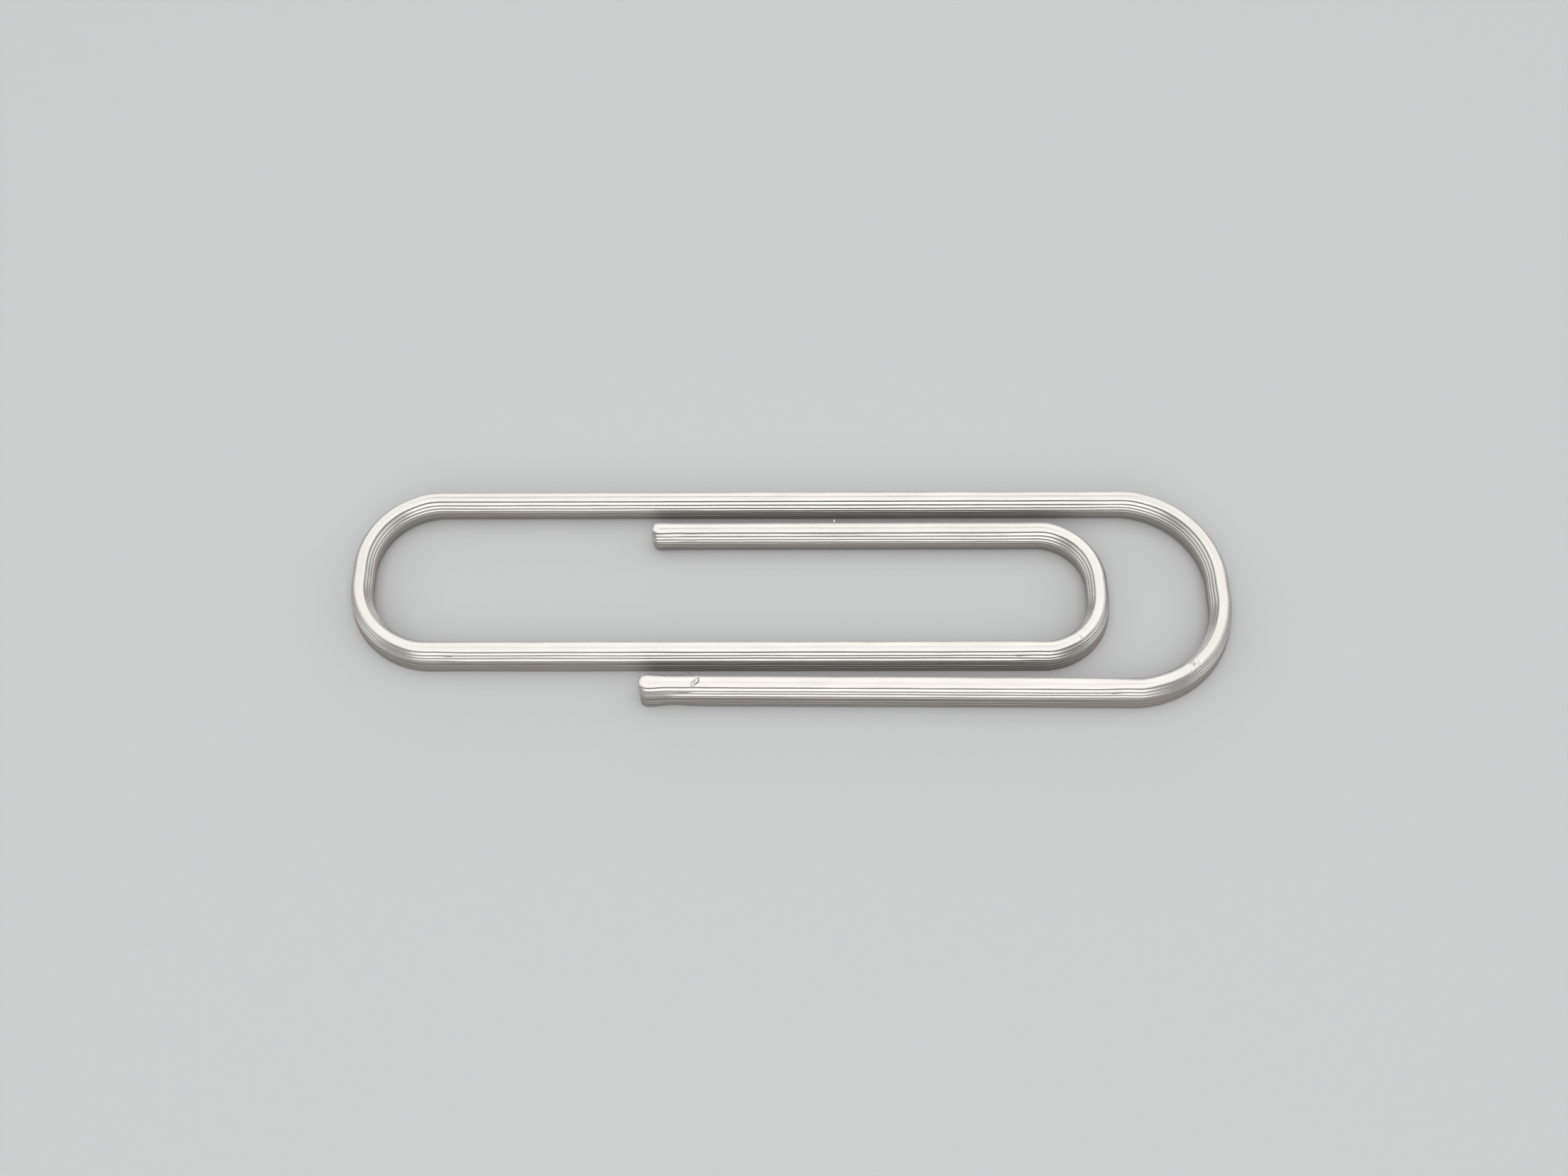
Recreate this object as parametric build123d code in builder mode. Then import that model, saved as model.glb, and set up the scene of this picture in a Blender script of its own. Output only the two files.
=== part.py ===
from build123d import *
import math
import os

# The clip lies flat on its printed underside. The origin is the centre of its footprint on the
# table, +X runs along the clip to the end with the two nested bends, +Y crosses it from the front
# leg to the back leg and +Z is up. Lengths are in millimetres, angles in degrees.

# Overall size.
overall_length = 60.0
overall_width = 16.1

# The printed strand. Each share is one layer's width over the widest layer's, from the bed up:
# the sides stand straight on the bed and round in to a top layer that is two beads wide.
strand_width = 1.55
strand_height = 2.2
layer_width_shares = (0.97, 1.0, 1.0, 0.98, 0.948, 0.89, 0.787, 0.67, 0.516)
ridge_height_share = 0.5
groove_depth = 0.035
foot_inset = 0.06
crown_inset = 0.07
seam_width = 0.09
seam_depth = 0.045

# The spiral: the gaps between neighbouring legs, and how far the inner bend and the two free tips
# stand back from the clip's ends.
front_gap = 1.2
back_gap = 0.95
inner_bend_setback = 8.2
front_tip_setback = 20.2
tongue_tip_setback = 20.6
tip_corner = 0.42
front_toe_in = 0.57

# Each bend is two rounded corners with a short straight side between them. A corner's radius is a
# share of half the distance between the two legs that the bend joins.
end_corner_share = 0.89
outer_corner_share = 0.9
inner_corner_share = 0.87

# Places along the strand's centreline.
half_strand = strand_width / 2
left_x = half_strand - overall_length / 2
right_x = overall_length / 2 - half_strand
inner_x = right_x - inner_bend_setback
front_y = half_strand - overall_width / 2
back_y = overall_width / 2 - half_strand
inner_y = front_y + strand_width + front_gap
tongue_y = back_y - strand_width - back_gap

end_corner = end_corner_share * (back_y - inner_y) / 2
outer_corner = outer_corner_share * (back_y - front_y) / 2
inner_corner = inner_corner_share * (tongue_y - inner_y) / 2

end_bend_start = Vector(left_x + end_corner, back_y)
inner_leg_start = Vector(left_x + end_corner, inner_y)
inner_bend_start = Vector(inner_x - inner_corner, inner_y)
tongue_start = Vector(inner_x - inner_corner, tongue_y)
back_leg_start = Vector(right_x - outer_corner, back_y)

# The front leg leans towards the inner leg, so the outer bend turns a little more than half round.
toe_in = math.radians(front_toe_in)
to_right = Vector(1, 0)
to_left = Vector(-1, 0)
front_heading = Vector(math.cos(toe_in), -math.sin(toe_in))
outer_bend_start = Vector(
    right_x - outer_corner - outer_corner * math.sin(toe_in),
    front_y + outer_corner - outer_corner * math.cos(toe_in),
)

front_tip_x = front_tip_setback - overall_length / 2
tongue_tip_x = tongue_tip_setback - overall_length / 2
front_leg_length = (outer_bend_start.X - front_tip_x) / math.cos(toe_in)
tongue_leg_length = tongue_start.X - tongue_tip_x


def layered_edge(reaches):
    """Points up one face of the strand, bed to crown, from how far out each of its layers reaches."""
    layer_height = strand_height / len(reaches)
    points = [(reaches[0] - foot_inset, 0)]
    for layer, reach in enumerate(reaches):
        points.append((reach, (layer + ridge_height_share) * layer_height))
        if layer + 1 < len(reaches):
            groove = min(reach, reaches[layer + 1]) - groove_depth
            points.append((groove, (layer + 1) * layer_height))
    points.append((reaches[-1] - crown_inset, strand_height))
    return points


# The strand's section: two layered sides, and a seam on top between the last layer's two beads.
with BuildSketch() as strand_section:
    with BuildLine():
        right_side = layered_edge([half_strand * share for share in layer_width_shares])
        right_side.append((seam_width / 2, strand_height))
        left_side = [(-across, up) for across, up in reversed(right_side)]
        Polyline(*right_side, (0, strand_height - seam_depth), *left_side, close=True)
    make_face()


def across_strand(place, heading):
    """The plane square to the strand at a place, with its x to the left and its y up."""
    return Plane(origin=place, x_dir=Vector(0, 0, 1).cross(heading), z_dir=heading)


def straight_leg(start, heading, length, has_tip):
    """A straight leg. A free tip ends square, with its layers running round its rounded corners."""
    with BuildPart() as leg:
        with BuildSketch(across_strand(start, heading)):
            add(strand_section.sketch)
        extrude(amount=length)
        if has_tip:
            tip_edge = layered_edge([length] * len(layer_width_shares))
            along_strand = Plane(origin=start, x_dir=heading, z_dir=heading.cross(Vector(0, 0, 1)))
            with BuildSketch(along_strand.offset(-half_strand)):
                with BuildLine():
                    Polyline((0, 0), *tip_edge, (0, strand_height), close=True)
                make_face()
            extrude(amount=strand_width, mode=Mode.INTERSECT)
            with BuildSketch(Plane(origin=start, x_dir=heading)) as footprint:
                Rectangle(length, strand_width, align=(Align.MIN, Align.CENTER))
                fillet(footprint.vertices().group_by(Axis.X)[-1], tip_corner)
            extrude(amount=strand_height, mode=Mode.INTERSECT)
    return leg


def u_bend(start, heading, corner, side, lead_in):
    """A bend that turns left through two corners, with lead_in degrees more in the first one."""
    with BuildPart() as bend:
        with BuildLine():
            first = JernArc(start, heading, corner, 90 + lead_in)
            middle = Line(first @ 1, first @ 1 + (first % 1) * side)
            JernArc(middle @ 1, middle % 1, corner, 90)
        with BuildSketch(across_strand(start, heading)):
            add(strand_section.sketch)
        sweep()
    return bend


# The strand from its front tip round to the tip of the tongue.
front_leg = straight_leg(outer_bend_start, -front_heading, front_leg_length, has_tip=True)
outer_side = back_y - front_y - 2 * outer_corner
outer_bend = u_bend(outer_bend_start, front_heading, outer_corner, outer_side, front_toe_in)
back_leg = straight_leg(back_leg_start, to_left, (back_leg_start - end_bend_start).X, has_tip=False)
end_side = back_y - inner_y - 2 * end_corner
end_bend = u_bend(end_bend_start, to_left, end_corner, end_side, lead_in=0)
inner_leg_length = (inner_bend_start - inner_leg_start).X
inner_leg = straight_leg(inner_leg_start, to_right, inner_leg_length, has_tip=False)
inner_side = tongue_y - inner_y - 2 * inner_corner
inner_bend = u_bend(inner_bend_start, to_right, inner_corner, inner_side, lead_in=0)
tongue_leg = straight_leg(tongue_start, to_left, tongue_leg_length, has_tip=True)

os.makedirs("parts", exist_ok=True)
pieces = {
    "front_leg": front_leg,
    "outer_bend": outer_bend,
    "back_leg": back_leg,
    "end_bend": end_bend,
    "inner_leg": inner_leg,
    "inner_bend": inner_bend,
    "tongue_leg": tongue_leg,
}
for name, piece in pieces.items():
    piece.part.label = name
    export_step(piece.part, f"parts/{name}.step")
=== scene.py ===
# %% [markdown]
# # A printed paper clip
# This clip has the old spiral outline of a wire clip, but it is printed: one strand of silver plastic,
# laid down in nine thin layers on a flat bed. The CAD frame gives the places and sizes of the strand's
# straight legs and round bends. This lesson gives them the look of the real print: rounded beads, the
# small faults of a nozzle, and a silky shine.

# %% Load the frame
import math

import bmesh
import bpy
from mathutils import Matrix, Vector, noise
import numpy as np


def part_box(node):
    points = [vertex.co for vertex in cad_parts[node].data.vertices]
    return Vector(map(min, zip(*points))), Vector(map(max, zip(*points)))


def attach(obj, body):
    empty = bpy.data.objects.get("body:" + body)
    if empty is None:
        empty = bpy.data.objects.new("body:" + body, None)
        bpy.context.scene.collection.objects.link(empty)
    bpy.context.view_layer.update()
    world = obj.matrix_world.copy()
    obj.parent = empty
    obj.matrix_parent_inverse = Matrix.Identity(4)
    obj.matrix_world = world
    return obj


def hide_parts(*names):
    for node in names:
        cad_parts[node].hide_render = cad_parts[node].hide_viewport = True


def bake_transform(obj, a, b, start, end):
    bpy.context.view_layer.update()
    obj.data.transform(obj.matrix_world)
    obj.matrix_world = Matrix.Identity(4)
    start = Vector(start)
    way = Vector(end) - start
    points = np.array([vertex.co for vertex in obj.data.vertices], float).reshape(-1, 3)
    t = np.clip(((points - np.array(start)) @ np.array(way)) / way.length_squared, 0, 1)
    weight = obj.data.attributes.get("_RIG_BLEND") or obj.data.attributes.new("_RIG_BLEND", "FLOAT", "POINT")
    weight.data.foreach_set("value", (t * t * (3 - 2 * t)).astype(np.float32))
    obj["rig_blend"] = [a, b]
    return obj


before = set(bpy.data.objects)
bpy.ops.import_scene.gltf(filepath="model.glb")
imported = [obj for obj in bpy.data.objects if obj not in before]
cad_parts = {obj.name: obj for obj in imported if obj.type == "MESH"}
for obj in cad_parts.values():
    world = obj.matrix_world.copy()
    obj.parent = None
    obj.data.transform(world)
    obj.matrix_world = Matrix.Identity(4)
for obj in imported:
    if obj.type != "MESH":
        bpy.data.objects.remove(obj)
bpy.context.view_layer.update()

print("CAD nodes:", sorted(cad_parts))

# %% [markdown]
# ## Measure the strand
# The strand is thinner than a match, so the meshes are modelled in millimetres and scaled to metres at
# the very end. Bevels and merges then work on comfortable numbers. Every place could be typed in again,
# but it would go stale when the CAD model changes. So it comes from the boxes of the CAD nodes: a straight
# leg's box gives its centreline, and a bend's box gives its corner radius.

# %% Read the boxes from the frame
mm = 0.001


def box_mm(node):
    """The lowest and highest corner of a CAD node, in millimetres."""
    low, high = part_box(node)
    return low / mm, high / mm


back_low, back_high = box_mm("back_leg")
inner_low, inner_high = box_mm("inner_leg")
tongue_low, tongue_high = box_mm("tongue_leg")
outer_low, outer_high = box_mm("outer_bend")
front_low = box_mm("front_leg")[0]
end_low = box_mm("end_bend")[0]
nested_high = box_mm("inner_bend")[1]
print("back leg from", round(back_low.x, 2), "to", round(back_high.x, 2), "mm")

# %% Work out the sizes of the strand and its bends
strand_width = back_high.y - back_low.y
half_strand = strand_width / 2
strand_height = back_high.z - back_low.z
back_y = (back_low.y + back_high.y) / 2
inner_y = (inner_low.y + inner_high.y) / 2
tongue_y = (tongue_low.y + tongue_high.y) / 2
front_y = outer_low.y + half_strand
left_x = end_low.x + half_strand
right_x = outer_high.x - half_strand
nested_x = nested_high.x - half_strand
end_corner = back_low.x - left_x
outer_corner = right_x - back_high.x
nested_corner = nested_x - tongue_high.x
print("strand", round(strand_width, 3), "x", round(strand_height, 3), "mm")
print("corners", [round(radius, 2) for radius in (end_corner, outer_corner, nested_corner)])

# %% [markdown]
# ## The strand's section
# Each layer of a print is a flattened bead of plastic, so the side of the strand is a stack of rounded
# ridges with a fine groove between each two. The upper layers are narrower and step in like stairs, and
# the top one is two beads wide, with a seam between them. The section could be swept as a plain box with
# a bump map of lines, but then its outline would be smooth. So it starts as a card, a flat face with two
# square corners for each layer, and a vertex bevel rounds those corners into beads.

# %% Layers and grooves
layer_width_shares = (0.97, 1.0, 1.0, 0.98, 0.965, 0.945, 0.855, 0.7, 0.505)
layer_height = strand_height / len(layer_width_shares)
wander_room = 0.02
layer_reaches = [(half_strand - wander_room) * share for share in layer_width_shares]
top_layer = len(layer_reaches) - 1
groove_depth = 0.075
least_groove_depth = 0.025


def step_in(layer):
    """How much further out a layer reaches than the one on top of it."""
    return max(0, layer_reaches[layer] - layer_reaches[layer + 1])


def groove_bottom(layer):
    """The bottom of the groove over a layer, just under the edge of the next bead."""
    depth = max(least_groove_depth, groove_depth - step_in(layer) / 2)
    return min(layer_reaches[layer:layer + 2]) - depth, (layer + 1) * layer_height


groove_bottoms = [groove_bottom(layer) for layer in range(top_layer)]
print("layers:", len(layer_reaches), "each", round(layer_height, 3), "mm high")

# %% Corners of the card
groove_lip = 0.012
shoulder_slope = 0.8
shelf_foot = 0.035
crown_drop = 0.025
seam_depth = 0.014
seam_width = 0.12


def card_side():
    """Corners up one side of the section, as (across, up, is it a bead's corner)."""
    corners = []
    for layer, reach in enumerate(layer_reaches):
        bed, top = layer * layer_height, (layer + 1) * layer_height
        corners.append((reach, bed + (groove_lip if layer else 0), True))
        if layer < top_layer:
            edge = Vector((reach, top - groove_lip - shoulder_slope * step_in(layer)))
            bottom = Vector(groove_bottoms[layer])
            foot = bottom + (edge - bottom).normalized() * shelf_foot
            corners += [(*edge, True), (*foot, False), (*bottom, False)]
    corners.append((layer_reaches[top_layer], strand_height - crown_drop, True))
    corners.append((seam_width / 2, strand_height - crown_drop, True))
    return corners


print("corners up one side:", len(card_side()))

# %% Cut the card and round its beads
bead_round_percent = 49
bead_segments = 4


def cut_card():
    """The rounded section as a ring of edges across +X: y is across to the left, z is up."""
    bm = bmesh.new()
    side = card_side()
    corners = [(0, 0, False)] + [(-across, up, bead) for across, up, bead in side]
    corners.append((0, strand_height - crown_drop - seam_depth, False))
    corners += reversed(side)
    verts = [bm.verts.new((0, across, up)) for across, up, bead in corners]
    bm.faces.new(verts)
    beads = [vert for vert, corner in zip(verts, corners) if corner[2]]
    bmesh.ops.bevel(
        bm, geom=beads, offset=bead_round_percent, offset_type="PERCENT", segments=bead_segments,
        profile=0.5, affect="VERTICES", material=-1, clamp_overlap=True,
    )
    bmesh.ops.delete(bm, geom=bm.faces[:], context="FACES_ONLY")
    mesh = bpy.data.meshes.new("section_card")
    bm.to_mesh(mesh)
    bm.free()
    return mesh


section_card = cut_card()
print("points round the section:", len(section_card.vertices))

# %% [markdown]
# ## Reading the section
# Later steps ask of a point which layer it belongs to, and how near it lies to a groove, where the finish
# paints shade. A material could guess that from the height alone, but the layers move when their faults are
# added. So both are worked out once on the card, and every copy of the card keeps the answer.

# %% Helpers that read the section
shade_on_bead = 0.075
tiny = 1e-5
hair = 0.001


def distance_to_groove(layer, across, up):
    return math.hypot(abs(across) - groove_bottoms[layer][0], up - groove_bottoms[layer][1])


def groove_under(across, up):
    """The layer whose groove bottom this point is, or -1 for a point on a bead."""
    found = [layer for layer in range(top_layer) if distance_to_groove(layer, across, up) < hair]
    return found[0] if found else -1


def groove_shadow(across, up):
    """1 at the bottom of a groove, falling to 0 up the bead above it and on the shelf below it."""
    nearest = 1
    for layer, bottom in enumerate(groove_bottoms):
        shade = shade_on_bead if up > bottom[1] else shelf_foot
        nearest = min(nearest, distance_to_groove(layer, across, up) / shade)
    return 1 - nearest


def layer_at(up):
    return min(max(math.floor(up / layer_height + tiny), 0), top_layer)


in_grooves = [vert for vert in section_card.vertices if groove_under(vert.co.y, vert.co.z) >= 0]
print("points at the bottom of a groove:", len(in_grooves))

# %% [markdown]
# ## Running the strand straight
# The nozzle runs along one line, from the front tip round three bends to the tip of the tongue. A curve
# with a bevel could follow that line, but its rings would fall where the curve likes. Blender's spin
# operator puts them where they are wanted: with an angle of zero and a step it copies the section along a
# straight leg. Each new point notes how far along the strand it lies, how far across and how high, and
# which way is left and outwards, because the small faults of a print follow the strand.

# %% A strand that runs straight
ring_step = 0.22
up_axis = Vector((0, 0, 1))


def left_of(heading):
    return up_axis.cross(heading)


class Strand:
    """One length of the strand while it is being made, with its open end ready to run on."""

    def __init__(self, start, heading, along):
        self.bm = bmesh.new()
        self.bm.from_mesh(section_card)
        floats, vectors = self.bm.verts.layers.float, self.bm.verts.layers.float_vector
        self.along, self.across, self.up = (floats.new(name) for name in ("along", "across", "up"))
        self.groove, self.between = floats.new("groove"), floats.new("between")
        self.radius = floats.new("radius")
        self.left, self.out = vectors.new("left"), vectors.new("out")
        for vert in self.bm.verts:
            vert[self.across], vert[self.up], vert[self.radius] = vert.co.y, vert.co.z, abs(vert.co.y)
            # The groove note is a painted shade: 1 at the bottom of a groove, fading up the bead above it
            # and on the shelf below.
            vert[self.groove] = groove_shadow(vert.co.y, vert.co.z)
            vert[self.between] = groove_under(vert.co.y, vert.co.z)
        self.start, self.place = Vector(start), Vector(start)
        self.heading, self.distance = Vector(heading), along
        turn = Matrix.Rotation(math.atan2(self.heading.y, self.heading.x), 4, "Z")
        bmesh.ops.transform(self.bm, matrix=Matrix.Translation(self.place) @ turn, verts=self.bm.verts[:])
        self.seen = set()
        self.end = self.bm.verts[:] + self.bm.edges[:]
        self.note(lambda point: (along, left_of(self.heading)))

    def note(self, rule):
        """Writes along, left and outwards on the points that are new, and returns them."""
        fresh = [vert for vert in self.bm.verts if vert not in self.seen]
        for vert in fresh:
            vert[self.along], vert[self.left] = rule(vert.co)
            side = (vert[self.across] > tiny) - (vert[self.across] < -tiny)
            vert[self.out] = vert[self.left] * side
        self.seen.update(fresh)
        return fresh

    def spin(self, geom, centre, angle, steps, step=(0, 0, 0)):
        spun = bmesh.ops.spin(
            self.bm, geom=geom, cent=centre, axis=up_axis, dvec=step, angle=angle, steps=steps,
            use_duplicate=False,
        )
        return spun["geom_last"]

    def straight(self, length, step=ring_step):
        steps = max(1, round(length / step))
        start, heading, begun = self.place.copy(), self.heading.copy(), self.distance
        self.end = self.spin(self.end, start, 0, steps, heading * (length / steps))
        self.note(lambda point: (begun + (point - start).dot(heading), left_of(heading)))
        self.place = start + heading * length
        self.distance = begun + length


print("a ring of points every", ring_step, "mm along a leg")

# %% [markdown]
# ## Turning a corner
# A bend of the clip is two rounded corners with a short straight side between them. Bending a straight
# strand with a modifier would squeeze the inner beads out of shape. The same spin operator, given an angle
# and a centre on the left of the strand, sweeps the open end round the corner with its section unchanged.

# %% Helper that turns a corner
corner_steps = 48
right_angle = math.radians(90)
on_the_flat = Vector((1, 1, 0))


def turn_corner(strand, radius, turn, steps_to_quarter=corner_steps):
    """Turns a strand left through an angle, about a centre on its left."""
    begun, heading, left = strand.distance, strand.heading.copy(), left_of(strand.heading)
    centre = strand.place + left * radius
    steps = max(1, round(steps_to_quarter * turn / right_angle))
    strand.end = strand.spin(strand.end, centre, turn, steps)

    def rule(point):
        spoke = (point - centre) * on_the_flat
        swept = math.atan2(spoke.dot(heading), -spoke.dot(left))
        return begun + radius * swept, -spoke.normalized()

    strand.note(rule)
    swing = Matrix.Rotation(turn, 3, "Z")
    strand.place = centre + swing @ (strand.place - centre)
    strand.heading = swing @ heading
    strand.distance = begun + radius * turn


print("rings to a quarter turn:", corner_steps)

# %% [markdown]
# ## Rounding a tip
# At a free tip the beads run round the end with tight corners, so the end is nearly square from above. A
# flat cap would cut the layers off like a sawn plank. Instead half of the section is spun half round, which
# carries every layer about the end, and each new point is then moved out to the squarer outline.

# %% Helpers that round a tip
tip_steps = 28
tip_reach = 0.62
tip_squareness = 3.2


def square_up(strand, vert, centre, ahead, left, forward):
    """Moves a point of the half-round end out to a square end with rounded corners."""
    radius = vert[strand.across]
    spoke = (vert.co - centre) * on_the_flat
    angle = math.atan2(spoke.dot(left), spoke.dot(ahead))
    front, side = math.cos(angle), math.sin(angle)
    corner = (abs(front) ** tip_squareness + abs(side) ** tip_squareness) ** (-1 / tip_squareness)
    in_groove = vert[strand.between] >= 0
    layer = round(vert[strand.between]) if in_groove else layer_at(vert.co.z)
    reach = min(layer_reaches[layer:layer + 2]) if in_groove else layer_reaches[layer]
    if vert.co.z > strand_height - layer_height / 2 or radius < tiny:
        target = tip_reach * radius / reach
    else:
        target = tip_reach - min(max(reach - radius, 0), groove_depth)
    move_ahead, move_left = corner * front * target, corner * side * radius
    vert.co = centre + ahead * move_ahead + left * move_left + up_axis * vert.co.z
    vert[strand.along] += forward * move_ahead
    vert[strand.across] = move_left
    vert[strand.out] = (ahead * front + left * side) if radius > tiny else Vector((0, 0, 0))


def round_tip(strand, forward):
    """Rounds off the open end, which points forward, or backward where the strand begins."""
    centre, left, begun = strand.place, left_of(strand.heading), strand.distance
    half = [
        item for item in strand.end
        if isinstance(item, bmesh.types.BMEdge)
        and min((vert.co - centre).dot(left) for vert in item.verts) > -tiny
    ]
    half += dict.fromkeys(vert for edge in half for vert in edge.verts)
    strand.spin(half, centre, -forward * 2 * right_angle, tip_steps)
    for vert in strand.note(lambda point: (begun, left)):
        square_up(strand, vert, centre, strand.heading * forward, left, forward)


print("a tip reaches", tip_reach, "mm past the last ring of its leg")

# %% [markdown]
# ## The faults that make it a print
# A nozzle never runs quite true. Each layer wanders a few hundredths of a millimetre to one side or the
# other, grows a little fatter and thinner, and swings wide for a moment where the straight leg turns into
# a bend. A bump map could hint at this, but the outline and the highlights would stay ruler-straight. So
# the moves are made on the points themselves, and the lines catch the light as real ones do.

# %% Smooth noise, bumps and steps
first_layer_at = 0.5
layer_stride = 3.7
row_stride = 11.3


def drift(along, layer, row, length):
    """Smooth noise along one layer, between about -1 and 1. Each row is a pattern of its own."""
    return noise.noise(Vector((along / length, layer * layer_stride + first_layer_at, row * row_stride)))


def bump_at(along, place, length):
    """1 at a place along the strand, falling smoothly to 0 a little beyond the length."""
    return math.exp(-(((along - place) / length) ** 2))


def ease(value):
    """0 below 0 and 1 above 1, with a smooth rise between."""
    value = min(max(value, 0), 1)
    return value * value * (3 - 2 * value)


print("noise half a millimetre along the first layer:", round(drift(0.5, 0, 0, 1), 3))

# %% How a layer sways
wander = 0.012
wander_length = 3.5
fattening = 0.012
ripple = 0.005
ripple_length = 0.9
kick = 0.035
kick_length = 0.7
wander_row, fat_row, ripple_row = 0, 1, 2


def sway(along, layer, kicks, loose):
    """How far a layer lies to the left of its line, and how much fatter it is."""
    shift = wander * drift(along, layer, wander_row, wander_length)
    shift += (ripple + loose) * drift(along, layer, ripple_row, ripple_length)
    swing = kick * (layer / top_layer) ** 2
    shift -= sum(swing * bump_at(along, place, kick_length) for place in kicks)
    return shift, fattening * drift(along, layer, fat_row, wander_length)


print("a layer wanders up to about", wander, "mm, and swings", kick, "mm wide at a kick")

# %% [markdown]
# ## Faults of one length
# On each leg some layers stand in or out a little more than their share, a soft one sags at its upper edge,
# two run together for a stretch, or the whole leg lies a hair off its line. In the bends the two top beads
# melt into one, so the seam all but goes. Each could be its own edit of the mesh, but then their order
# would matter. Here a small class says how far each fault moves a point, and the moves are added up.

# %% What is untrue about one length
step_fade = 2.5
melt_fade = 1.2
slump_knee = 0.45


class Faults:
    """What is untrue about one length of the strand, between the two ends of its span."""

    def __init__(self, span, left=None, right=None, melts=(), slumps=None, astray=(0, 0), filled_seam=0):
        self.span, self.left, self.right = span, left or {}, right or {}
        self.melts, self.slumps = melts, slumps or {}
        self.astray, self.filled_seam = astray, filled_seam

    def fade(self, along):
        """1 along the span, easing to 0 at both of its ends."""
        start, end = self.span
        return ease((along - start) / step_fade) * ease((end - along) / step_fade)

    def stray(self, along):
        """How far the whole strand lies to the left of its line."""
        start, end = self.span
        share = (along - start) / (end - start)
        return self.astray[0] * (1 - share) + self.astray[1] * share

    def step(self, along, layer, across):
        """How much further out a layer stands on one side of a leg."""
        steps = self.left if across > 0 else self.right
        return steps.get(layer, 0) * self.fade(along)

    def slump(self, along, layer, height):
        """How far the upper edge of a soft layer has sunk in on a leg."""
        sunk = max(0, height / layer_height - layer - slump_knee) / (1 - slump_knee)
        return sunk * self.slumps.get(layer, 0) * self.fade(along)

    def melt(self, along, groove):
        """How much of a groove is filled, because the two layers beside it ran together."""
        fills = [
            ease((along - start) / melt_fade) * ease((end - along) / melt_fade)
            for layer, start, end in self.melts if layer == groove
        ]
        return max(fills, default=0)

    def seam_fill(self, along, height, radius):
        """How far the seam between the two top beads is filled up."""
        depth = strand_height - crown_drop - height
        if radius > seam_width or not 0 < depth < 2 * seam_depth:
            return 0
        return self.filled_seam * depth * self.fade(along)


print("a fault fades out over", step_fade, "mm at the ends of its length")

# %% [markdown]
# ## Faults of a tip
# The nozzle slows down at a tip, and the plastic stays soft there. The tip swells, its foot draws in behind
# it, its lines grow unsteady, and on the front leg whole layers fuse into three rounded lobes. The lobes
# could be modelled apart and joined on, but the joint would show. So each point of the fused layers is
# moved out to an arch over them, and further along the leg the same points ease back to their own beads.

# %% What is untrue about a tip
swell_place, swell_length = 0.5, 0.75
neck_place, neck_length = 2.2, 0.8
neck_layers = 3
loose_length = 1.6
lobe_edge = 0.4
lobe_nose = 0.06


class TipFaults:
    """How a tip swells and loosens. A lobe is (lowest layer, highest layer, roundness, where it ends)."""

    def __init__(self, tip=0, bulge=0, loose=0, neck=0, lobes=()):
        self.tip, self.bulge, self.loose, self.neck, self.lobes = tip, bulge, loose, neck, lobes

    def swell(self, along, height):
        """How much fatter a tip is, and how much its foot draws in behind it."""
        back = abs(along - self.tip)
        foot = max(0, 1 - height / (neck_layers * layer_height))
        fatter = self.bulge * bump_at(back, swell_place, swell_length)
        return fatter - self.neck * foot * bump_at(back, neck_place, neck_length)

    def looseness(self, along):
        return self.loose * math.exp(-abs(along - self.tip) / loose_length)

    def fuse(self, along, height, radius, groove, ahead):
        """How far a point moves out, and how much of its shade is gone, where layers fused into a lobe."""
        for low, high, roundness, end in self.lobes:
            layers = high + 1 - low
            share = (height / layer_height - low) / layers
            if 0 <= share <= 1 and groove not in (low - 1, high):
                arch = math.sqrt(4 * share * (1 - share))
                foot = groove_bottoms[low - 1][0] if low else layer_reaches[0] - roundness
                side = foot + (groove_bottoms[high][0] - foot) * share + roundness * arch - radius
                layer = groove + 1 if groove >= 0 else layer_at(height)
                nose = min(max(layer_reaches[layer] - radius, 0), groove_depth) - lobe_nose * (1 - arch)
                fused = ease((end - along) / melt_fade)
                cleared = fused * ease(min(share, 1 - share) * layers / lobe_edge)
                return fused * (side * (1 - ahead) + nose * ahead), cleared
        return 0, 0


print("a tip is fattest", swell_place, "mm behind its end")

# %% Move every point by its faults
lean = 0.125
lean_height = 1.0


def disturb(strand, kicks, faults, tip):
    """Moves every point of a strand by the wander of its layer and by the length's own faults."""
    for vert in strand.bm.verts:
        along, height, across = vert[strand.along], vert[strand.up], vert[strand.across]
        radius, groove = vert[strand.radius], round(vert[strand.between])
        layers = (groove, groove + 1) if groove >= 0 else (layer_at(height),)
        moves = [sway(along, layer, kicks, tip.looseness(along)) for layer in layers]
        shift, fat = (sum(values) / len(layers) for values in zip(*moves))
        shift += lean * ease(height / lean_height) + faults.stray(along)
        fat += faults.step(along, max(layers), across) + tip.swell(along, height)
        if groove < 0 and across < 0:
            fat -= faults.slump(along, layers[0], height)
        if groove >= 0:
            filled = faults.melt(along, groove)
            fat += filled * (layer_reaches[groove] - groove_bottoms[groove][0] - step_in(groove) / 2)
            # A filled groove loses its painted shade.
            vert[strand.groove] *= 1 - filled
        elif layers[0] > 0:
            sunk = 1 - (height / layer_height - layers[0])
            fat += faults.melt(along, layers[0] - 1) * step_in(layers[0] - 1) / 2 * sunk
        ahead = abs(vert[strand.out].dot(strand.heading))
        moved, cleared = tip.fuse(along, height, radius, groove, ahead)
        # Where layers fused into a lobe, their grooves lose their painted shade.
        vert[strand.groove] *= 1 - cleared
        vert.co += vert[strand.left] * shift + vert[strand.out] * (fat + moved)
        vert.co.z += faults.seam_fill(along, height, radius)


print("the upper layers lean", lean, "mm to the inside of the spiral")

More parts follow.
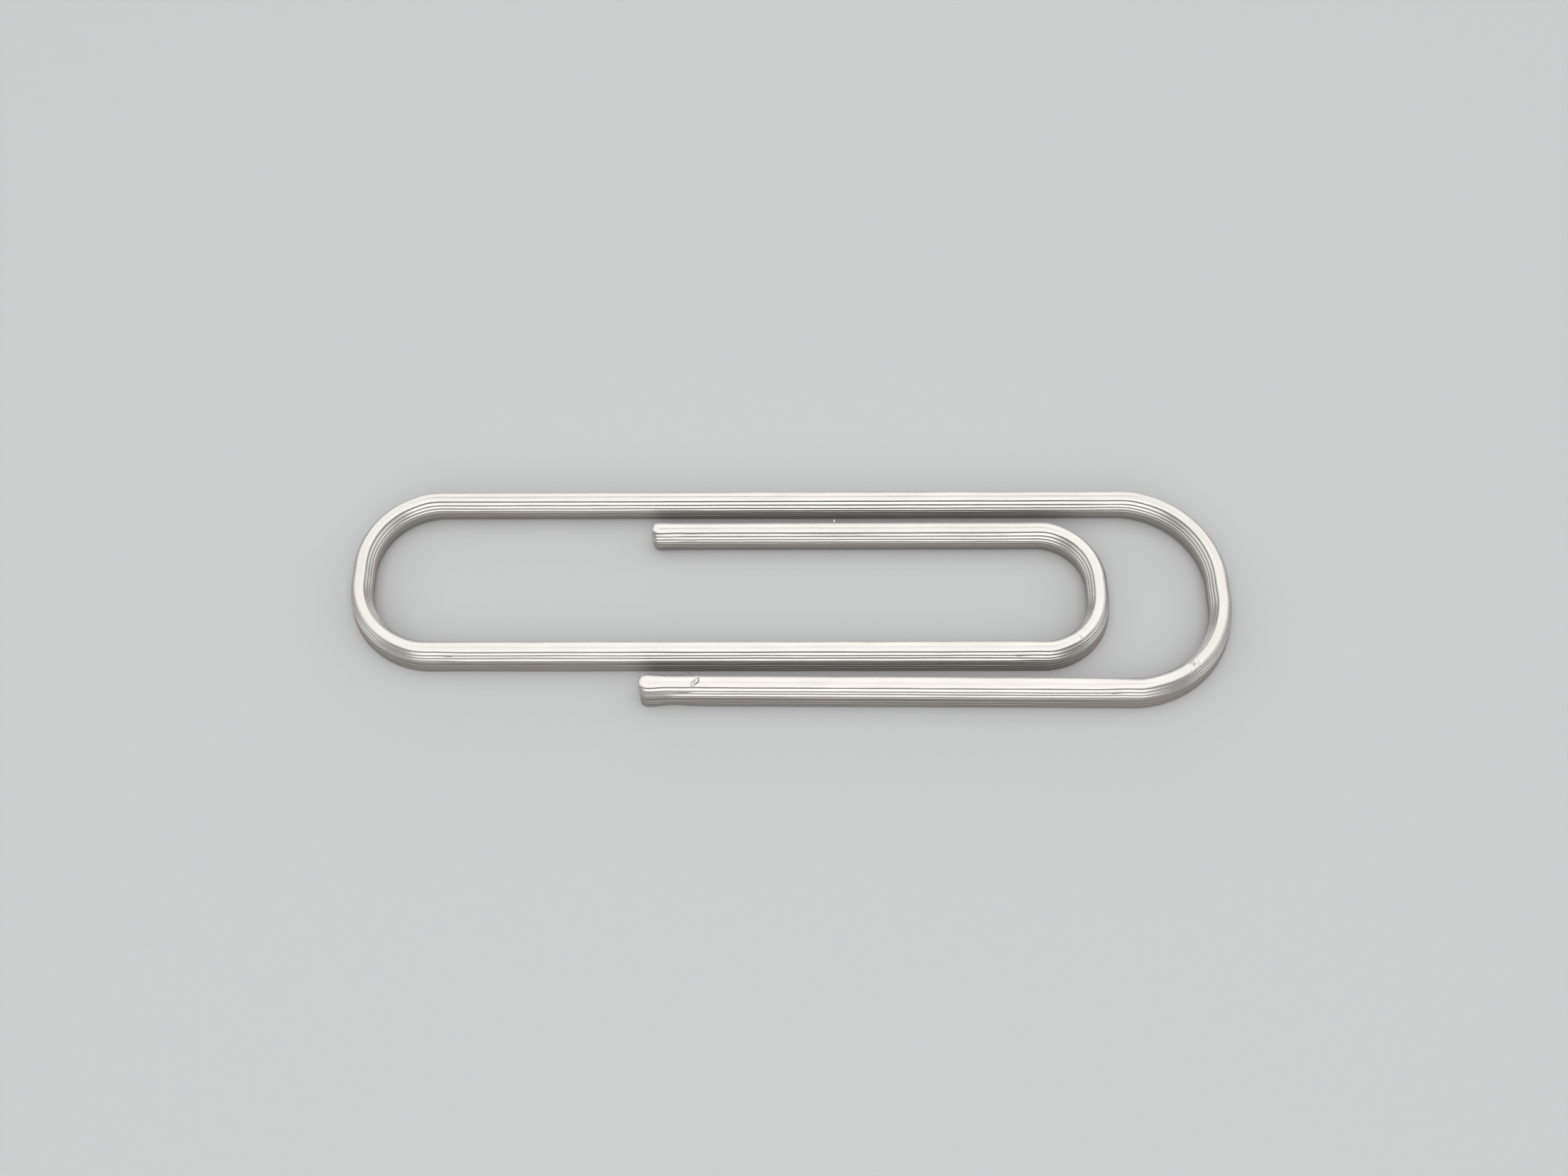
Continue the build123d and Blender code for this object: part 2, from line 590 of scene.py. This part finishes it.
# %% [markdown]
# ## Pits and scars
# The top of the front leg has a slanted pit with a chip of plastic in it, and two of the bends have a rough
# spot where the nozzle stopped and started again. A boolean cut would leave ragged faces on such a fine
# mesh. Sinking the points that are already there keeps the mesh clean, so the rings stand closer together
# about these places.

# %% Helpers for the pit and the scars
chip_place = 3.05
chip_across = -0.03
chip_slant = math.radians(39)
chip_half_length = 0.28
chip_half_width = 0.15
gouge_edge = 0.05
gouge_depth = 0.06
scar_length = 0.45
scar_depth = 0.05
scar_shade = 0.4
scar_grain = (4.1, 4.3)
scar_row = 4.7
scar_sunk_share = 0.25
scar_shaded_share = 0.1


def gouge(strand):
    """Sinks the slanted pit in the top of the front leg that the chip lies in."""
    for vert in strand.bm.verts:
        if vert[strand.up] > top_layer * layer_height:
            reach = (vert[strand.along] - chip_place) / math.cos(chip_slant)
            aside = vert[strand.across] - chip_across - reach * math.sin(chip_slant)
            inside = ease((chip_half_length + gouge_edge - abs(reach)) / gouge_edge)
            inside *= ease((chip_half_width + gouge_edge - abs(aside)) / gouge_edge)
            vert.co.z -= gouge_depth * inside * (vert[strand.up] / strand_height) ** 4


def scar(strand, place):
    """Roughens and sinks the top of a strand where the nozzle stopped and started again, with painted shade
    in its deeper spots.
    """
    for vert in strand.bm.verts:
        rough = bump_at(vert[strand.along], place, scar_length)
        if rough > hair and vert[strand.up] > top_layer * layer_height:
            spot = (vert[strand.along] * scar_grain[0], vert[strand.across] * scar_grain[1], scar_row)
            ragged = noise.noise(Vector(spot))
            vert.co.z -= rough * scar_depth * max(0, ragged + scar_sunk_share)
            # Painted shade in the deeper spots of the scar, through the groove note.
            vert[strand.groove] += scar_shade * rough * max(0, ragged + scar_shaded_share)


print("pit", gouge_depth, "mm deep, scars", scar_depth, "mm deep")

# %% [markdown]
# ## Finishing a length
# A finished length is closed at both ends, because an open tube shows its inside at a limit of the joints
# and can't be printed again. Its groove edges are marked sharp, so that each bead keeps its own highlight,
# and everything else is shaded smooth. The notes along, across, up and groove stay on the mesh, for the
# silver finish to read. The working notes go.

# %% Helpers that close a length and make it an object
groove_angle = math.radians(48)
weld_distance = 0.0004


def into_object(bm, name):
    """Turns a bmesh in millimetres into an object in metres."""
    bmesh.ops.scale(bm, vec=(mm, mm, mm), verts=bm.verts[:])
    mesh = bpy.data.meshes.new(name)
    bm.to_mesh(mesh)
    bm.free()
    piece = bpy.data.objects.new(name, mesh)
    bpy.context.scene.collection.objects.link(piece)
    print(name, len(mesh.vertices), "points", len(mesh.polygons), "faces")
    return piece


def finish_length(strand, name):
    bm = strand.bm
    for notes in ("left", "out"):
        bm.verts.layers.float_vector.remove(bm.verts.layers.float_vector[notes])
    for notes in ("between", "radius"):
        bm.verts.layers.float.remove(bm.verts.layers.float[notes])
    bmesh.ops.remove_doubles(bm, verts=bm.verts[:], dist=weld_distance)
    bmesh.ops.holes_fill(bm, edges=[edge for edge in bm.edges if edge.is_boundary], sides=0)
    bmesh.ops.recalc_face_normals(bm, faces=bm.faces[:])
    for face in bm.faces:
        face.smooth = True
    for edge in bm.edges:
        edge.smooth = edge.is_manifold and edge.calc_face_angle() < groove_angle
    return into_object(bm, name)


print("edges sharper than", round(math.degrees(groove_angle)), "degrees stay sharp")

# %% [markdown]
# ## The front leg and the outer bend
# The real strand is one unbroken line. One mesh could hold all of it, but the legs have to move against
# each other, so the line is run in seven lengths that meet face to face, each where its CAD node is. It
# starts at the front tip. The front leg leans a little towards the inner leg, so the outer bend turns a
# little more than half round.

# %% Run the front leg and the outer bend
fine_step = 0.06
toe_in = math.radians(0.57)
to_right, to_left = Vector((1, 0, 0)), Vector((-1, 0, 0))
front_heading = Vector((math.cos(toe_in), -math.sin(toe_in), 0))
chip_room = 0.5
scar_turn = math.radians(39)
scar_half_turn = math.radians(7)


def scarred_corner(strand, radius, turn):
    """A corner with finer rings about the place of the scar."""
    fine_steps = round(radius * right_angle / fine_step)
    turn_corner(strand, radius, scar_turn - scar_half_turn)
    turn_corner(strand, radius, 2 * scar_half_turn, fine_steps)
    turn_corner(strand, radius, turn - scar_turn - scar_half_turn)


bend_foot = Vector((
    right_x - outer_corner - outer_corner * math.sin(toe_in),
    front_y + outer_corner - outer_corner * math.cos(toe_in),
    0,
))
front_length = (bend_foot.x - front_low.x) / math.cos(toe_in) - tip_reach
front = Strand(bend_foot - front_heading * front_length, front_heading, 0)
round_tip(front, -1)
front.straight(chip_place - chip_room)
front.straight(2 * chip_room, fine_step)
front.straight(front_length - chip_place - chip_room)
outer = Strand(front.place, front_heading, front.distance)
scarred_corner(outer, outer_corner, right_angle + toe_in)
outer.straight(back_y - front_y - 2 * outer_corner)
turn_corner(outer, outer_corner, right_angle)
print("front leg and outer bend:", round(outer.distance, 1), "mm of strand")

# %% Run the back leg and the end bend
back = Strand(outer.place, to_left, outer.distance)
back.straight(back_high.x - back_low.x)
end = Strand(back.place, to_left, back.distance)
turn_corner(end, end_corner, right_angle)
end.straight(back_y - inner_y - 2 * end_corner)
turn_corner(end, end_corner, right_angle)
print("with back leg and end bend:", round(end.distance, 1), "mm of strand")

# %% Run the inner leg, the inner bend and the tongue
inner = Strand(end.place, to_right, end.distance)
inner.straight(inner_high.x - inner_low.x)
nested = Strand(inner.place, to_right, inner.distance)
scarred_corner(nested, nested_corner, right_angle)
nested.straight(tongue_y - inner_y - 2 * nested_corner)
turn_corner(nested, nested_corner, right_angle)
tongue = Strand(nested.place, to_left, nested.distance)
tongue.straight(tongue_high.x - tongue_low.x - tip_reach)
round_tip(tongue, 1)
lengths = {
    "front_leg": front, "outer_bend": outer, "back_leg": back, "end_bend": end,
    "inner_leg": inner, "inner_bend": nested, "tongue_leg": tongue,
}
print("whole strand:", round(tongue.distance, 1), "mm")

# %% [markdown]
# ## Faults seen on this clip
# The nozzle swings wide going into a bend and coming out of it. On the side of each leg that faces the
# camera, the lines between the layers aren't evenly spaced: the numbers below say by how many millimetres
# a layer stands out or in, counted from the bed. Random numbers would be quicker, but these lines are what
# one knows this print by.

# %% Say what is untrue, length by length
into_bend, out_of_bend, about_end, past_corner = 0.6, 1.0, 1.2, 0.5
before_front_tip, beyond_tongue_tip = 2, 3
melt_stop = 3
bend_seam = 0.85
tongue_end = tongue.distance + tip_reach
kicks = [
    front.distance + into_bend, front.distance + outer_corner * right_angle, outer.distance - out_of_bend,
    back.distance + about_end, end.distance - about_end,
    inner.distance + into_bend, inner.distance + nested_corner * right_angle + past_corner,
    nested.distance - out_of_bend,
]
length_faults = {
    "front_leg": Faults(
        (-before_front_tip, front.distance), left={8: 0.04, 7: 0.02},
        right={8: 0.05, 7: 0.06, 6: 0.015, 5: 0.04, 4: 0.03}, slumps={5: 0.05}, astray=(-0.12, 0),
    ),
    "outer_bend": Faults((front.distance, outer.distance), filled_seam=bend_seam),
    "back_leg": Faults((outer.distance, back.distance), left={6: 0.02, 5: 0.01}),
    "end_bend": Faults((back.distance, end.distance), filled_seam=bend_seam),
    "inner_leg": Faults(
        (end.distance, inner.distance), right={8: 0.04, 7: 0.03, 6: -0.01, 5: 0.03, 4: 0.015},
        melts=[(4, end.distance, inner.distance - melt_stop)], slumps={5: 0.09},
    ),
    "inner_bend": Faults((inner.distance, nested.distance), filled_seam=bend_seam),
    "tongue_leg": Faults((nested.distance, tongue_end + beyond_tongue_tip), left={8: 0.02, 6: 0.01}),
}
tip_faults = {
    "front_leg": TipFaults(
        -tip_reach, bulge=0.075, loose=0.03, neck=0.1,
        lobes=[(6, 7, 0.12, 3.2), (3, 5, 0.09, 2.0), (0, 2, 0.07, 1.4)],
    ),
    "tongue_leg": TipFaults(tongue_end, bulge=0.03, loose=0.06),
}
print("kicks at", [round(place, 1) for place in kicks], "mm along the strand")

# %% Give each length its faults and finish it
no_tip = TipFaults()
for node, strand in lengths.items():
    disturb(strand, kicks, length_faults[node], tip_faults.get(node, no_tip))
gouge(front)
scar(outer, front.distance + outer_corner * scar_turn)
scar(nested, inner.distance + nested_corner * scar_turn)
pieces = {node: finish_length(strand, "printed_" + node) for node, strand in lengths.items()}

# %% [markdown]
# ## The chip
# Three crumbs of plastic cling to the real clip. The first is a thin chip in the pit of the front leg. It
# could be painted on, but from the side a painted chip is gone. So it is a small grid, bent down at one end,
# slanted with a shear and given a thickness. Its height note is that of the top of the strand, so that the
# finish gives it the colour of the top, without the painted shade of the lower walls.

# %% Make the chip
chip_thickness = 0.02
chip_drop = 0.09
chip_crease = 0.4
chip_curl = 1.4


def note_places(bm):
    """Gives a crumb the notes that the finish reads."""
    for axis, name in enumerate(("along", "across", "up")):
        layer = bm.verts.layers.float.new(name)
        for vert in bm.verts:
            vert[layer] = strand_height if name == "up" else vert.co[axis]
    for face in bm.faces:
        face.smooth = True
    return bm


chip_centre = front.start + front_heading * chip_place + left_of(front_heading) * chip_across
bm = bmesh.new()
bmesh.ops.create_grid(bm, x_segments=8, y_segments=4, size=1)
for vert in bm.verts:
    vert.co.z = -chip_drop * ease((chip_crease - vert.co.x) / chip_curl)
slant = Matrix((
    (chip_half_length * math.cos(chip_slant), 0, 0),
    (chip_half_length * math.sin(chip_slant), chip_half_width, 0),
    (0, 0, 1),
)).to_4x4()
lift = Vector((0, 0, strand_height - crown_drop / 2))
bmesh.ops.transform(bm, matrix=Matrix.Translation(chip_centre + lift) @ slant, verts=bm.verts[:])
bmesh.ops.solidify(bm, geom=bm.faces[:], thickness=chip_thickness)
bmesh.ops.recalc_face_normals(bm, faces=bm.faces[:])
chip = into_object(note_places(bm), "printed_chip")

# %% [markdown]
# ## The string
# The nozzle drew out a string as fine as a hair when it left the chip. It starts on the shoulder of the
# front leg and bows down into the gap behind it. A curve with a bevel would do as well, but a small ring
# spun about a far centre makes the same bow in the way that the rest of the clip is made. Then each point
# is drawn in towards the middle of the string, more and more to its end.

# %% Find the arc of the string
string_root = Vector((-6.12, -6.68, 2.1))
string_end = Vector((-7.0, -5.3, 0.8))
string_sag = 0.2
chord = string_end - string_root
bow = (chord.cross(up_axis)).cross(chord).normalized()
bow_radius = (chord.length_squared / 4 + string_sag ** 2) / (2 * string_sag)
bow_centre = (string_root + string_end) / 2 + bow * (bow_radius - string_sag)
bow_axis = (string_root - bow_centre).cross(string_end - bow_centre).normalized()
bow_angle = (string_root - bow_centre).angle(string_end - bow_centre)
print("string", round(bow_radius * bow_angle, 2), "mm long")

# %% Spin the string
string_radius = 0.026
string_sides = 6
string_steps = 16
string_taper = 0.6
bm = bmesh.new()
bmesh.ops.create_circle(bm, segments=string_sides, radius=string_radius)
spoke = (string_root - bow_centre).normalized()
turn = Matrix((spoke, bow_axis, spoke.cross(bow_axis))).transposed().to_4x4()
bmesh.ops.transform(bm, matrix=Matrix.Translation(string_root) @ turn, verts=bm.verts[:])
bmesh.ops.spin(
    bm, geom=bm.verts[:] + bm.edges[:], cent=bow_centre, axis=bow_axis, angle=bow_angle, steps=string_steps,
)
for vert in bm.verts:
    spoke = vert.co - bow_centre
    on_line = bow_centre + (spoke - bow_axis * spoke.dot(bow_axis)).normalized() * bow_radius
    gone = (string_root - bow_centre).angle(on_line - bow_centre, 0) / bow_angle
    vert.co = on_line + (vert.co - on_line) * (1 - string_taper * gone)
bmesh.ops.holes_fill(bm, edges=bm.edges[:], sides=0)
bmesh.ops.recalc_face_normals(bm, faces=bm.faces[:])
string = into_object(note_places(bm), "printed_string")

# %% [markdown]
# ## The blob
# A round blob of plastic sits on the far shoulder of the tongue. A plain ball would look placed there. This
# one is an icosphere, whose points are even all round with no poles, pushed in and out by smooth noise
# until it has lost its roundness, and sunk into the shoulder.

# %% Make the blob
blob_place = Vector((3.12, 5.27, 1.85))
blob_radius = 0.15
blob_lumps = 0.25
blob_lump_scale = 9
bm = bmesh.new()
bmesh.ops.create_icosphere(bm, subdivisions=3, radius=blob_radius)
for vert in bm.verts:
    vert.co *= 1 + blob_lumps * noise.noise(vert.co * blob_lump_scale)
bmesh.ops.translate(bm, vec=blob_place, verts=bm.verts[:])
blob = into_object(note_places(bm), "printed_blob")

# %% [markdown]
# ## Hang the lengths on the bodies
# A leg moves with its own body, so it rides on it. A bend is the spring of the clip: it holds on to one leg
# at each end and takes up the turn between them. If it rode on one of the two, it would tear off the other.
# So it is blended from one body to the other across the clip, and bends smoothly when they move. The crumbs
# ride with the leg that they cling to.

# %% Ride and blend
leg_bodies = {
    "front_leg": "front_leg", "back_leg": "outer_loop", "inner_leg": "inner_loop", "tongue_leg": "tongue",
}
bend_bodies = {
    "outer_bend": ("outer_loop", "front_leg", back_y - half_strand, front_y + half_strand),
    "end_bend": ("outer_loop", "inner_loop", back_y - half_strand, inner_y + half_strand),
    "inner_bend": ("inner_loop", "tongue", inner_y + half_strand, tongue_y - half_strand),
}
crumbs = {chip: "front_leg", string: "front_leg", blob: "tongue"}
for node, body in leg_bodies.items():
    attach(pieces[node], body)
for node, (first, second, start_y, end_y) in bend_bodies.items():
    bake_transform(pieces[node], first, second, start=(0, start_y * mm, 0), end=(0, end_y * mm, 0))
for node, piece in pieces.items():
    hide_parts(node)
for crumb, body in crumbs.items():
    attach(crumb, body)
print("riding:", len(leg_bodies) + len(crumbs), "blended:", len(bend_bodies))

# %% [markdown]
# ## Shader maths
# A finish is a sum of many small patterns. Placing each Math node by hand hides the sum, so a small class
# wraps a node's output and lets Python's own signs add the nodes. A second class adds every other kind of
# node: its settings first, then the values or links of its sockets.

# %% A wire that works in sums
class Wire:
    """A node's output that works in Python sums."""

    def __init__(self, shader, socket):
        self.shader, self.socket = shader, socket

    def math(self, operation, *values):
        inputs = dict(enumerate(values))
        return self.shader.node("ShaderNodeMath", {"operation": operation}, inputs)["Value"]

    def __add__(self, other):
        return self.math("ADD", self, other)

    def __sub__(self, other):
        return self.math("SUBTRACT", self, other)

    def __rsub__(self, other):
        return self.math("SUBTRACT", other, self)

    def __mul__(self, other):
        return self.math("MULTIPLY", self, other)

    __radd__ = __add__
    __rmul__ = __mul__


print("a wire adds, subtracts and multiplies")

# %% A shader that adds nodes
class Shader:
    """A node tree, built from its sources to its output."""

    def __init__(self, owner):
        owner.use_nodes = True
        self.tree = owner.node_tree
        self.tree.nodes.clear()

    def node(self, kind, settings=None, inputs=None):
        """Adds a node: its settings first, then the values or links of its sockets."""
        made = self.tree.nodes.new(kind)
        for name, value in (settings or {}).items():
            setattr(made, name, value)
        for name, value in (inputs or {}).items():
            if isinstance(value, Wire):
                self.tree.links.new(value.socket, made.inputs[name])
            else:
                made.inputs[name].default_value = value
        return {socket.name: Wire(self, socket) for socket in made.outputs if socket.enabled}

    def attribute(self, name):
        return self.node("ShaderNodeAttribute", {"attribute_name": name})["Fac"]

    def noise(self, x, y, z, detail):
        vector = self.node("ShaderNodeCombineXYZ", None, {"X": x, "Y": y, "Z": z})["Vector"]
        inputs = {"Vector": vector, "Scale": 1.0, "Detail": detail}
        return self.node("ShaderNodeTexNoise", None, inputs)["Fac"]

    def ramp(self, value, start, end, low, high):
        inputs = {"Value": value, "From Min": start, "From Max": end, "To Min": low, "To Max": high}
        return self.node("ShaderNodeMapRange", {"interpolation_type": "SMOOTHSTEP"}, inputs)["Result"]

    def blend(self, factor, first, second):
        inputs = {"Factor": factor, 6: first, 7: second}
        return self.node("ShaderNodeMix", {"data_type": "RGBA"}, inputs)["Result"]


print("a shader adds any other node from one method")

# %% [markdown]
# ## Silver silk plastic: the patterns
# The plastic is full of fine pearl flakes. The nozzle lays them along the strand, so it shines like satin
# metal, with streaks along each bead, a fine grain across them and broad paler and duller patches. A plain
# metal would be too even, and a picture of plastic would repeat. So each pattern is a noise that reads the
# strand's own notes: a small number along the strand stretches it, and it follows every bend. The lowest
# layers carry a painted shade and a painted warm reflection, so they come out darker and browner, and the
# grooves carry a painted shade.

# %% Patterns along the strand
silver = bpy.data.materials.new("silver_silk_plastic")
silk = Shader(silver)
streak_scale = (0.3, 5, 5)
grain_scale = (6, 9, 9)
patch_scale = (0.25, 0.6, 0.6)
dash_scale = (0.9, 3, 7)
dash_depth = 0.3
groove_shade_faint, groove_shade_full = 0.25, 0.7
wall_full, wall_gone = 0.95, 1.42
along, across, up = (silk.attribute(name) for name in ("along", "across", "up"))


def strand_noise(scale, detail):
    """Noise that follows the strand: its scale is per millimetre along, across and up."""
    return silk.noise(along * scale[0], across * scale[1], up * scale[2], detail)


streaks = strand_noise(streak_scale, 3)
grain = strand_noise(grain_scale, 2)
patches = strand_noise(patch_scale, 2)
dashes = strand_noise(dash_scale, 2)
# Painted shade: the groove note, broken up by dashes, darkens the grooves and the underside of each bead.
groove_shade_note = silk.attribute("groove") + (dashes - 0.5) * dash_depth
groove = silk.ramp(groove_shade_note, groove_shade_faint, groove_shade_full, 0.0, 1.0)
# Painted shade and painted warm reflection on the lower walls: full up to 0.95 mm, gone by 1.42 mm.
wall = silk.ramp(up, wall_full, wall_gone, 1.0, 0.0)
print("patterns made with", len(silk.tree.nodes), "nodes")

# %% [markdown]
# ## Silver silk plastic: colour, shine and relief
# Now the patterns drive what they drive on the real clip. The streaks and the grain change the tone of the
# silver a little. They also change its roughness, which breaks up the long highlights, and a very shallow
# bump lets single flakes glint. The metallic share is nearly full but the same all over, so it is set on
# the shader's own socket.

# %% Colour, shine and relief
dull_silver = (0.485, 0.472, 0.45, 1)
bright_silver = (0.575, 0.56, 0.535, 1)
# The two painted shade colours, dark and warm brown: one for the lower walls, one for the grooves.
painted_wall_shade = (0.19, 0.15, 0.12, 1)
painted_groove_shade = (0.13, 0.085, 0.05, 1)
wall_shade_share = 0.55
groove_shade_share = 0.75
tone_low, tone_high = 0.3, 0.7
flake_strength = 0.6
flake_height = 0.00001
pearl_share = 0.92

tone = silk.ramp(streaks * 0.55 + patches * 0.25 + grain * 0.2, tone_low, tone_high, 0.0, 1.0)
colour = silk.blend(tone, dull_silver, bright_silver)
# Painted shade: the lower walls and then the grooves blend towards dark brown.
colour = silk.blend(wall * wall_shade_share, colour, painted_wall_shade)
colour = silk.blend(groove * groove_shade_share, colour, painted_groove_shade)
roughness = 0.17 + streaks * 0.12 + grain * 0.14 + groove * 0.1 + wall * 0.2
relief = silk.node("ShaderNodeBump", None, {
    "Strength": flake_strength, "Distance": flake_height, "Height": streaks * 0.5 + grain * 0.6,
})["Normal"]
surface = silk.node("ShaderNodeBsdfPrincipled", None, {
    "Base Color": colour, "Metallic": pearl_share, "Roughness": roughness, "Normal": relief,
})["BSDF"]
silk.node("ShaderNodeOutputMaterial", None, {"Surface": surface})
for piece in (*pieces.values(), *crumbs):
    piece.data.materials.append(silver)
print("silver finish on", len(pieces) + len(crumbs), "pieces")

# %% [markdown]
# ## Floor
# The clip lies on a plain pale floor, which takes its shadow and is mirrored in its sides. It could reach to
# the horizon, but beyond the lamps it would only be dark. So it ends where they stand. It lies a hundredth
# of a millimetre under the clip, because two faces in one place flicker.

# %% Make the floor
floor_half = 0.8
floor_gap = 0.00001
floor_grey = (0.47, 0.48, 0.49, 1)
floor_roughness = 0.85
bm = bmesh.new()
bmesh.ops.create_grid(bm, x_segments=1, y_segments=1, size=floor_half / mm)
bmesh.ops.translate(bm, vec=(0, 0, -floor_gap / mm), verts=bm.verts[:])
floor = into_object(bm, "floor")
paint = bpy.data.materials.new("pale_floor")
matte = Shader(paint)
surface = matte.node("ShaderNodeBsdfPrincipled", None, {
    "Base Color": floor_grey, "Roughness": floor_roughness,
})["BSDF"]
matte.node("ShaderNodeOutputMaterial", None, {"Surface": surface})
floor.data.materials.append(paint)

# %% [markdown]
# ## The room around it
# Silver shows what is around it, so a black room would put black lines along every bead. The world gives a
# weak soft fill, dim at the horizon and brighter overhead. What the camera and the shiny sides of the clip
# see of it is one even pale grey instead. A brighter world would do that too, but it would wash out the
# shadow. The Light Path node tells those rays apart, so the grey adds no light to the floor.

# %% Make the world
horizon_strength, zenith_strength = 0.1, 0.32
full_height = 0.7
backdrop = 0.42
daylight = (0.97, 0.98, 1, 1)
world = bpy.data.worlds.new("studio")
bpy.context.scene.world = world
sky = Shader(world)
direction = sky.node("ShaderNodeTexCoord")["Generated"]
height = sky.node("ShaderNodeSeparateXYZ", None, {"Vector": direction})["Z"]
climb = sky.ramp(height, 0.0, full_height, horizon_strength, zenith_strength)
rays = sky.node("ShaderNodeLightPath")
in_view = rays["Is Camera Ray"] + rays["Is Glossy Ray"] + rays["Is Transmission Ray"]
strength = climb + in_view * (backdrop - climb)
glow = sky.node("ShaderNodeBackground", None, {"Color": daylight, "Strength": strength})["Background"]
sky.node("ShaderNodeOutputWorld", None, {"Surface": glow})
print("backdrop strength", backdrop)

# %% [markdown]
# ## Light
# A spot lamp would give each bead one hard white line. Large softboxes give it a broad soft one, as a
# window does. The one overhead lights the tops, the one in front the shoulders that face the camera, and
# one on each other side the outer shoulders of the bends. Their strength is plain: a mid grey comes out
# as a mid grey, and the palest tops stay just under white.

# %% Hang the softboxes
lamp_white = (1, 0.985, 0.965)
lamp_cream = (1, 0.98, 0.955)


def softbox(name, place, size, watts, target=(0, 0, 0), colour=lamp_white):
    """A rectangular area lamp that faces a point."""
    lamp = bpy.data.lights.new(name, "AREA")
    lamp.shape = "RECTANGLE"
    lamp.size, lamp.size_y = size
    lamp.energy, lamp.color = watts, colour
    holder = bpy.data.objects.new(name, lamp)
    holder.location = place
    holder.rotation_euler = (Vector(target) - Vector(place)).to_track_quat("-Z", "Y").to_euler()
    bpy.context.scene.collection.objects.link(holder)
    print(name, watts, "W")


# Aimed a hair off straight down, which settles the way that its long side lies.
softbox(
    "overhead_softbox", place=(0.0, -0.025, 0.45), target=(0, -0.0251, 0), size=(0.5, 0.85), watts=2.1,
    colour=lamp_cream,
)
softbox("front_softbox", place=(0.0, -0.75, 0.5), size=(0.9, 0.45), watts=2.2)
softbox("left_softbox", place=(-0.75, 0.08, 0.49), size=(1.0, 0.6), watts=2.0)
softbox("right_softbox", place=(0.75, 0.08, 0.49), size=(1.0, 0.6), watts=2.0)
softbox("rear_softbox", place=(0.0, 0.8, 0.26), size=(1.2, 0.4), watts=1.6)

# %% [markdown]
# ## Camera
# The camera stands where the photograph was taken from: high in front of the clip, turned and rolled by a
# degree. These values come from fitting the clip's outline, because a camera set by eye leaves the legs a
# few pixels off. The lens is given in pixels of the photograph and turned into millimetres of a sensor.

# %% Set the camera
photo_width = 2212
focal_pixels = 2482
sensor_width = 36
nearest_seen = 0.001
view_elevation = math.radians(62)
view_azimuth = math.radians(1.29)
view_roll = math.radians(-1.24)
view_distance = 120.9
view_target = Vector((-0.35, 1.08, 0))

lens = bpy.data.cameras.new("photo_camera")
lens.sensor_width = sensor_width
lens.sensor_fit = "HORIZONTAL"
lens.lens = focal_pixels * sensor_width / photo_width
lens.clip_start = nearest_seen
camera = bpy.data.objects.new("photo_camera", lens)
aim = Matrix.Rotation(view_azimuth, 4, "Z") @ Matrix.Rotation(right_angle - view_elevation, 4, "X")
aim = aim @ Matrix.Rotation(view_roll, 4, "Z")
away = aim.to_3x3() @ Vector((0, 0, view_distance))
camera.matrix_world = Matrix.Translation((view_target + away) * mm) @ aim
bpy.context.scene.collection.objects.link(camera)
bpy.context.scene.camera = camera
bpy.context.scene.view_settings.view_transform = "Standard"
print("lens", round(lens.lens, 1), "mm")
